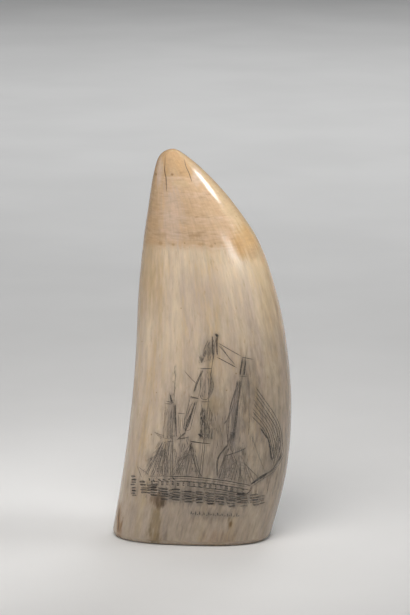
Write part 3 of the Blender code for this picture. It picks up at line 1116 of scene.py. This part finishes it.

# The stains and painted soft reflections of the front. Each: its place, half width and half height in
# millimetres, its colour and its strength.
StainOrSheen = namedtuple("StainOrSheen", "x z half_width half_height colour strength")
STAINS_AND_SHEEN = (
    # Painted soft reflections: the first three pale pink ovals stand for a lamp's sheen on the polish, down
    # the tan third and left of the tip, and as the halo beside the tip's highlight.
    StainOrSheen(-9.6, 127.0, 5.0, 15.0, PALE_PINK, 0.55),
    StainOrSheen(-15.2, 142.0, 1.8, 7.0, PALE_PINK, 0.65),
    StainOrSheen(-0.8, 141.4, 2.4, 5.0, PALE_PINK, 0.60),
    StainOrSheen(-6.6, 138.6, 5.0, 1.5, YELLOW_TAN, 0.60),
    StainOrSheen(17.4, 117.6, 5.6, 7.5, PATCH_ORANGE, 0.88),
    StainOrSheen(20.5, 111.5, 1.6, 3.0, EDGE_BROWN, 0.45),
    StainOrSheen(-13.4, 119.4, 2.2, 1.6, EDGE_BROWN, 0.45),
    StainOrSheen(-0.8, 119.8, 2.8, 1.5, EDGE_BROWN, 0.40),
    StainOrSheen(-13.9, 116.2, 1.0, 0.9, EDGE_BROWN, 0.70),
    StainOrSheen(-9.0, 116.2, 0.8, 0.7, EDGE_BROWN, 0.70),
    StainOrSheen(1.4, 116.8, 1.6, 0.8, EDGE_BROWN, 0.55),
    StainOrSheen(5.4, 116.0, 1.0, 0.8, EDGE_BROWN, 0.60),
    StainOrSheen(-16.5, 141.1, 0.6, 0.7, STAIN_BROWN, 0.55),
    StainOrSheen(-9.9, 141.8, 0.6, 0.5, STAIN_BROWN, 0.65),
    StainOrSheen(-6.4, 142.5, 1.0, 0.6, EDGE_BROWN, 0.70),
    StainOrSheen(-17.4, 101.0, 3.6, 8.0, YELLOW_TAN, 0.40),
    StainOrSheen(-25.6, 60.0, 2.4, 7.0, ORANGE_BROWN, 0.28),
    StainOrSheen(6.4, 56.0, 4.6, 4.6, YELLOW_TAN, 0.70),
    StainOrSheen(5.4, 46.0, 5.0, 6.0, YELLOW_TAN, 0.35),
    StainOrSheen(4.2, 78.0, 4.0, 6.4, BLUE_SOOT, 0.24),
    StainOrSheen(15.2, 49.0, 3.0, 13.0, BLUE_SOOT, 0.30),
    StainOrSheen(-9.8, 48.0, 3.2, 11.0, BLUE_SOOT, 0.22),
    StainOrSheen(-10.6, 33.0, 9.0, 9.0, SOOT_HAZE, 0.26),
    StainOrSheen(1.0, 32.0, 8.0, 9.0, SOOT_HAZE, 0.22),
    StainOrSheen(13.8, 31.0, 7.0, 10.0, SOOT_HAZE, 0.22),
    StainOrSheen(4.0, 52.0, 17.0, 18.0, SOOT_HAZE, 0.14),
    StainOrSheen(27.0, 31.0, 6.0, 7.0, SOOT_HAZE, 0.22),
    StainOrSheen(8.0, 42.0, 5.5, 17.0, SOOT_HAZE, 0.16),
    StainOrSheen(19.6, 67.0, 5.0, 13.0, SOOT_HAZE, 0.26),
    StainOrSheen(7.4, 13.2, 12.0, 3.4, SOOT_HAZE, 0.26),
    StainOrSheen(-1.0, 21.6, 26.0, 6.4, SOOT_HAZE, 0.26),
    StainOrSheen(-6.0, 20.4, 14.0, 3.6, SOOT_HAZE, 0.26),
    StainOrSheen(13.0, 19.2, 14.0, 3.6, SOOT_HAZE, 0.34),
    StainOrSheen(-15.5, 8.0, 3.0, 11.0, OLIVE_BROWN, 0.60),
    StainOrSheen(-16.2, 2.6, 3.2, 3.8, OLIVE_BROWN, 0.55),
    StainOrSheen(-14.4, 18.0, 3.2, 3.6, STAIN_BROWN, 0.66),
    StainOrSheen(-15.1, 18.0, 0.9, 2.8, DARK_BROWN, 0.60),
    StainOrSheen(-12.7, 17.2, 0.8, 2.8, DARK_BROWN, 0.80),
    StainOrSheen(-30.8, 7.0, 1.8, 8.0, ORANGE_BROWN, 0.80),
    StainOrSheen(8.4, 2.6, 7.0, 5.0, ORANGE_BROWN, 0.26),
    StainOrSheen(13.0, 9.8, 1.5, 3.4, OLIVE_BROWN, 0.55),
    StainOrSheen(13.1, 9.2, 0.7, 1.5, STAIN_BROWN, 0.75),
)
print(len(STAINS_AND_SHEEN), "stains")

# %% Colour the ivory
# Heights in millimetres: where the orange cap begins and where it is full, the same for the tan third, and
# where the streaked body begins to turn to plain cream and where it has.
CAP_FROM, CAP_FULL = 140.4, 141.8
TAN_FROM, TAN_FULL = 111.0, 114.6
CREAM_FROM, CREAM_FULL = 98, 112


def real_place(finish):
    """The real place in millimetres."""
    return finish.stretched(finish.node("TexCoord", {}, {}, "Object"), (1 / MM, 1 / MM, 1 / MM))


def stored(finish, name, result="Fac"):
    """A value that the mesh carries, read by its name."""
    return finish.node("Attribute", {"attribute_name": name}, {}, result)


def fibres(finish, straight_place, scale, detail, along=0.13):
    """Noise drawn out along the tooth. The scale is how many streaks there are across a millimetre, and the
    share along the tooth says how short they are."""
    return finish.noise(finish.stretched(straight_place, (1.0, 1.0, along)), scale, detail, 0.62)


def cementum_colour(finish, z, straight_place, fine, drift):
    """The paler body: cream near the upper third, then streaks of pinkish grey and yellow tan."""
    middling = fibres(finish, straight_place, 0.32, 3)
    broad = fibres(finish, straight_place, 0.11, 3)
    greyer = middling * 0.9 + fine * 0.35 + broad * 0.5 + drift * 0.3
    near_top = finish.rise(z, CREAM_FROM, CREAM_FULL)
    colour = finish.mix(CREAM, PINK_GREY, finish.rise(greyer - near_top, -1.0, 0.9))
    yellow = fibres(finish, straight_place, 0.22, 4) + fine * 0.4 + drift * 0.4
    return finish.mix(colour, YELLOW_TAN, finish.rise(yellow, -0.1, 1.3) * 0.85)


def add_pores(finish, colour, straight_place, tan_share):
    """Short brownish and pale flecks that lie along the tooth, where its pores were cut open."""
    flecks = finish.noise(finish.stretched(straight_place, (1.0, 1.0, 0.24)), 1.5, 3, 0.65)
    patches = finish.noise(finish.stretched(straight_place, (1.0, 1.0, 0.35)), 0.45, 3, 0.6)
    strength = 0.62 - tan_share * 0.42
    brown = finish.rise(flecks + patches * 0.6, 0.15, 1.8)
    colour = finish.mix(colour, EDGE_BROWN, brown * strength)
    pale = finish.rise(flecks + patches * 0.5, -0.3, -1.7)
    return finish.mix(colour, PALE_PINK, pale * strength)


def dentine_colour(finish, z, straight_place, fine, drift):
    """The tan upper part with its growth rings, and the orange cap above the cracks."""
    rings = finish.noise(finish.stretched(straight_place, (0.15, 0.15, 1.0)), 1.15, 3, 0.6)
    bands = finish.noise(finish.stretched(straight_place, (0.04, 0.04, 1.0)), 0.22, 2, 0.5)
    colour = finish.mix(TAN, PALE_PINK, finish.rise(bands + drift * 0.5 + fine * 0.2, -0.2, 1.5) * 0.6)
    colour = finish.mix(colour, EDGE_BROWN, finish.rise(rings + bands * 0.5, 0.1, 1.4) * 0.62)
    colour = finish.mix(colour, PALE_PINK, finish.rise(rings, -0.1, -1.2) * 0.35)
    cap = finish.rise(z + fine * 0.4 + drift, CAP_FROM, CAP_FULL)
    return finish.mix(colour, CAP_TAN, cap * 0.85), rings


def add_stains_and_sheen(finish, colour, place, y, ragged):
    """Lays each of the table's stains and painted soft reflections over the front of the tooth."""
    front = finish.rise(y, -1.0, -4.0)
    for stain_or_sheen in STAINS_AND_SHEEN:
        shrink = (1 / stain_or_sheen.half_width, 0.0, 1 / stain_or_sheen.half_height)
        middle = (stain_or_sheen.x / stain_or_sheen.half_width, 0.0, stain_or_sheen.z / stain_or_sheen.half_height)
        offset = {0: finish.stretched(place, shrink), 1: middle}
        distance = finish.node("VectorMath", {"operation": "DISTANCE"}, offset, "Value")
        mask = finish.rise(distance + ragged * 0.45, 1.15, 0.35) * front
        colour = finish.mix(colour, stain_or_sheen.colour, mask * stain_or_sheen.strength)
    return colour


print("the ivory's colours are written")

# %% Finish the ivory
# Roughness stays under 0.27 everywhere on the polish. A denoiser treats a rougher gloss in another way, and a
# finish that crosses that value shows false contours.
TIP_GLOSS, BODY_GLOSS = 0.17, 0.22
RING_HEIGHT, FIBRE_HEIGHT, SCRATCH_HEIGHT = 0.004, 0.006, 0.003
# The layers of the tooth lie lower at its back, by this share of the way there.
LAYER_TILT = 0.20
# Light enters the ivory and comes out again a little way off, redder than it went in.
IVORY_IOR, LIGHT_INSIDE_SHARE = 1.50, 0.25
LIGHT_REACH_MM, LIGHT_REACH_BY_COLOUR = 2.5, (1.0, 0.6, 0.35)


def add_age(finish, colour, sideways, z, ragged, tan_share):
    """The yellow-brown inner edge of the upper half, and the yellow streaks of the outer edge."""
    inner = finish.rise(sideways + ragged * 2.2, -14.0, -24.0) * finish.rise(z, 78, 104)
    outer = finish.rise(sideways + ragged * 2.4, 21.0, 26.5) * finish.rise(z, 60, 108)
    rim = finish.rise(sideways * sideways, 790, 900)
    colour = finish.mix(colour, EDGE_BROWN, inner * (0.50 - tan_share * 0.10))
    colour = finish.mix(colour, YELLOW_TAN, outer * 0.75)
    return finish.mix(colour, EDGE_BROWN, rim * 0.30)


def polished_ivory():
    """The whole finish of the skin: layers, pores, age, stains, soot, gloss and a faint relief."""
    finish = Finish("polished_ivory")
    place, straight_place = real_place(finish), stored(finish, "straight", "Vector")
    x, y, z = finish.parts(place)
    sideways = finish.parts(straight_place)[0]
    drift = finish.noise(place, 0.045, 3)
    fine = fibres(finish, straight_place, 1.00, 3, along=0.20)
    ragged = finish.noise(finish.stretched(straight_place, (1.0, 1.0, 0.25)), 0.55, 3, 0.6)

    body = cementum_colour(finish, z, straight_place, fine, drift)
    upper, rings = dentine_colour(finish, z, straight_place, fine, drift)
    layer_level = z + y * LAYER_TILT + ragged * 1.5 + drift * 1.4 + fine * 0.6
    tan_share = finish.rise(layer_level + finish.rise(x, 4, 24) * 4.0, TAN_FROM, TAN_FULL)
    colour = add_pores(finish, finish.mix(body, upper, tan_share), straight_place, tan_share)
    colour = add_age(finish, colour, sideways, z, ragged, tan_share)
    colour = add_stains_and_sheen(finish, colour, place, y, ragged)
    specks = finish.node("TexVoronoi", {}, {"Vector": straight_place, "Scale": 0.13}, "Distance")
    colour = finish.mix(colour, OLIVE_BROWN, finish.rise(specks + fine * 0.01, 0.055, 0.02) * 0.7)
    # Painted shade: the colour darkens towards the root and the lower outer side, mostly for light that falls
    # off downwards and partly for the root's own greyer tone.
    painted_shade_and_darker_root = finish.rise(z - x * 1.25, 98, 15) * 0.47
    streaks = fine * (0.125 - tan_share * 0.090)
    colour = finish.shaded(colour, 1 + streaks + ragged * 0.090 + drift * 0.04 - painted_shade_and_darker_root)
    colour = finish.shaded(colour, 1 - rings * 0.10 * tan_share)

    ink, crack, soot = (stored(finish, name) for name in ("ink", "crack", "soot"))
    worn_ink = finish.noise(place, 1.3, 3, 0.7)
    colour = finish.mix(colour, SOOT_HAZE, soot * (0.55 + worn_ink * 0.15))
    colour = finish.mix(colour, SOOT, ink * (0.95 + worn_ink * 0.40))
    colour = finish.mix(colour, CRACK_DIRT, crack * 0.70)
    finish.feed(finish.shader.inputs["Base Color"], colour)

    rubbed = finish.rise(finish.noise(place, 0.12, 3), -1.0, 1.0) * 0.04
    gloss = BODY_GLOSS - rubbed - tan_share * (BODY_GLOSS - TIP_GLOSS - 0.04)
    finish.feed(finish.shader.inputs["Roughness"], gloss + (ink + crack) * 0.3)
    scratches = finish.noise(finish.stretched(place, (1.0, 1.0, 0.10)), 2.6, 2)
    height = rings * RING_HEIGHT * tan_share + fine * FIBRE_HEIGHT * (1 - tan_share)
    bump = {"Strength": 1.0, "Distance": MM, "Height": height + scratches * SCRATCH_HEIGHT}
    finish.feed(finish.shader.inputs["Normal"], finish.node("Bump", {}, bump))

    finish.shader.inputs["IOR"].default_value = IVORY_IOR
    finish.shader.inputs["Subsurface Weight"].default_value = LIGHT_INSIDE_SHARE
    finish.shader.inputs["Subsurface Radius"].default_value = LIGHT_REACH_BY_COLOUR
    finish.shader.inputs["Subsurface Scale"].default_value = LIGHT_REACH_MM * MM
    return finish.material


mesh.materials.append(polished_ivory())
print("polished ivory has", len(mesh.materials[POLISHED].node_tree.nodes), "nodes")

# %% [markdown]
# ## The sawn root
# The saw left a matt face with fine parallel marks. Dentine shows its layers there as rings round the pulp
# cavity, and the cavity's wall is rough, yellow and darker with depth. None of it shows when the tooth
# stands, but it does when someone picks the tooth up.

# %% Finish the sawn root
SAWN_PALE, SAWN_TAN = (0.56, 0.45, 0.31), (0.45, 0.33, 0.20)
PULP_YELLOW, PULP_BROWN = (0.42, 0.29, 0.14), (0.16, 0.09, 0.04)
LAYERS_ACROSS_FACE = 26


def sawn_ivory():
    """The flat face with its layers and saw marks, and the wall of the cavity."""
    finish = Finish("sawn_ivory")
    place = real_place(finish)
    z = finish.parts(place)[2]
    grain = finish.noise(place, 0.5, 4, 0.6)
    root_middle, root_half_width, root_half_thickness = (float(value) for value in section(0.0)[:3])
    shrink = (1 / root_half_width, 1 / root_half_thickness, 0.0)
    offset = {0: finish.stretched(place, shrink), 1: (root_middle / root_half_width, 0.0, 0.0)}
    out = finish.node("VectorMath", {"operation": "DISTANCE"}, offset, "Value")
    rings = {"W": out * LAYERS_ACROSS_FACE + grain * 0.3, "Scale": 1.0, "Detail": 2.0}
    layers = finish.node("TexNoise", {"noise_dimensions": "1D"}, rings)
    colour = finish.mix(SAWN_PALE, SAWN_TAN, finish.rise(layers, 0.35, 0.65))
    colour = finish.mix(colour, SAWN_PALE, finish.rise(out, 0.84, 0.90) * 0.7)
    inside = finish.rise(z, 0.2, 1.5)
    wall = finish.mix(PULP_YELLOW, PULP_BROWN, finish.rise(z + grain * 3, 6, PULP_DEPTH))
    colour = finish.mix(colour, wall, inside)
    finish.feed(finish.shader.inputs["Base Color"], finish.shaded(colour, 1 + grain * 0.12))
    marks = finish.noise(finish.stretched(place, (1.0, 0.04, 1.0)), 1.6, 2)
    height = (marks * 0.04 + layers * 0.06) * (1 - inside) + grain * 0.12 * inside
    finish.feed(finish.shader.inputs["Normal"], finish.node("Bump", {}, {"Distance": MM, "Height": height}))
    finish.feed(finish.shader.inputs["Roughness"], 0.55 + inside * 0.2 + grain * 0.05)
    return finish.material


mesh.materials.append(sawn_ivory())
print("the sawn root has", len(mesh.materials[SAWN].node_tree.nodes), "nodes")

# %% [markdown]
# ## Floor, lamps and sky
# The tooth stands on a plain pale floor. The two highlights on its outer edge say where two lamps of the
# photograph stood: a mirror at each highlight would show the lamp. One is a narrow bar behind the tooth's
# right shoulder, and the other a small upright panel in front on the right. These two are seen only in the
# gloss, so that their strength sets the highlights and nothing else.
#
# The soft light that models the rest comes from a large panel above, which is near, so that the tip is
# brighter than the root. Two weaker lamps lighten the outer side and the back, and one high above the floor
# behind the tooth keeps the background pale. Narrow beams hold each lamp to its own place, and none of the
# four is seen in the gloss.

# %% Lay the floor
FLOOR_HALF = 4000
FLOOR_GREY, FLOOR_PALE = (0.70, 0.70, 0.695), (0.74, 0.74, 0.735)
FLOOR_ROUGHNESS = 0.75


def pale_floor():
    """A matt pale grey that varies a little, as painted board does."""
    finish = Finish("pale_floor")
    place = finish.node("TexCoord", {}, {}, "Object")
    cloudy = finish.noise(place, 9.0, 3)
    colour = finish.mix(FLOOR_GREY, FLOOR_PALE, finish.rise(cloudy, -1.0, 1.0))
    finish.feed(finish.shader.inputs["Base Color"], colour)
    finish.shader.inputs["Roughness"].default_value = FLOOR_ROUGHNESS
    return finish.material


floor_mesh = bpy.data.meshes.new("floor")
corner_signs = ((-1, -1), (1, -1), (1, 1), (-1, 1))
corners = [(x * FLOOR_HALF * MM, y * FLOOR_HALF * MM, 0.0) for x, y in corner_signs]
floor_mesh.from_pydata(corners, [], [(0, 1, 2, 3)])
floor_mesh.materials.append(pale_floor())
floor = bpy.data.objects.new("floor", floor_mesh)
bpy.context.scene.collection.objects.link(floor)
floor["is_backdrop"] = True
print("the floor is", 2 * FLOOR_HALF * MM, "m wide")

# %% Hang the lamps
WHITE, WARM_WHITE = (1.0, 1.0, 1.0), (1.0, 0.97, 0.94)
SKY_COLOUR, SKY_STRENGTH = (0.90, 0.91, 0.93, 1.0), 0.13

# What the lamps point at: places on the tooth, and the floor behind it.
SHOULDER_MM, OUTER_SIDE_MM, OUTER_TOP_MM = (1.0, -6.7, 139.5), (12.2, -13.9, 115.4), (18.0, 0.0, 130.0)
UPPER_BODY_MM, BACKGROUND_MM = (-6.0, 0.0, 112.0), (0.0, 1100.0, 0.0)

# A lamp is seen from its target at an angle round and an angle up. These and the beam are in degrees.
Lamp = namedtuple("Lamp", "name target_mm round_angle up_angle distance_mm size_mm watts beam colour")
HIGHLIGHT_LAMPS = (
    Lamp("bar_behind_shoulder", SHOULDER_MM, 118, 39, 320, (130, 32), 0.42, 180, WHITE),
    Lamp("panel_in_front", OUTER_SIDE_MM, 45, 19, 450, (140, 46), 0.30, 180, WHITE),
)
SOFT_LAMPS = (
    Lamp("soft_overhead", UPPER_BODY_MM, -12, 48, 450, (420, 420), 0.62, 80, WARM_WHITE),
    Lamp("side_fill", OUTER_TOP_MM, 92, 25, 300, (160, 160), 0.066, 45, WHITE),
    Lamp("back_fill", UPPER_BODY_MM, 165, 35, 500, (240, 240), 0.12, 70, WHITE),
    Lamp("floor_light", BACKGROUND_MM, 0, 90, 1200, (1600, 1600), 6.5, 90, WHITE),
)


def hang(lamp):
    """Hangs a flat panel of light. A narrow beam keeps its light off what lies beside the target."""
    light = bpy.data.lights.new(lamp.name, "AREA")
    light.shape = "RECTANGLE"
    light.size, light.size_y = lamp.size_mm[0] * MM, lamp.size_mm[1] * MM
    light.energy = lamp.watts
    light.spread = math.radians(lamp.beam)
    light.color = lamp.colour
    panel = bpy.data.objects.new(lamp.name, light)
    bpy.context.scene.collection.objects.link(panel)
    angles = math.radians(lamp.round_angle), math.radians(lamp.up_angle)
    panel.location = out_from(lamp.target_mm, *angles, lamp.distance_mm)
    aim(panel, lamp.target_mm)
    return panel


for lamp in HIGHLIGHT_LAMPS:
    hang(lamp).visible_diffuse = False
for lamp in SOFT_LAMPS:
    hang(lamp).visible_glossy = False

world = bpy.data.worlds.new("studio")
world.use_nodes = True
sky = world.node_tree.nodes["Background"]
sky.inputs["Color"].default_value = SKY_COLOUR
sky.inputs["Strength"].default_value = SKY_STRENGTH
bpy.context.scene.world = world
bpy.context.scene.view_settings.view_transform = "Standard"
print(len(HIGHLIGHT_LAMPS), "highlight lamps and", len(SOFT_LAMPS), "soft ones")

# %% [markdown]
# ## Measuring and closing
# The visual model is kept inside the imported model's box, and both boxes are printed.

# %% Write the sizes and finish
visual_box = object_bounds()


for box_name, box in (("packed", cad_box), ("visual", visual_box)):
    print(box_name, "box in mm:", [[round(value / MM, 2) for value in corner] for corner in box])
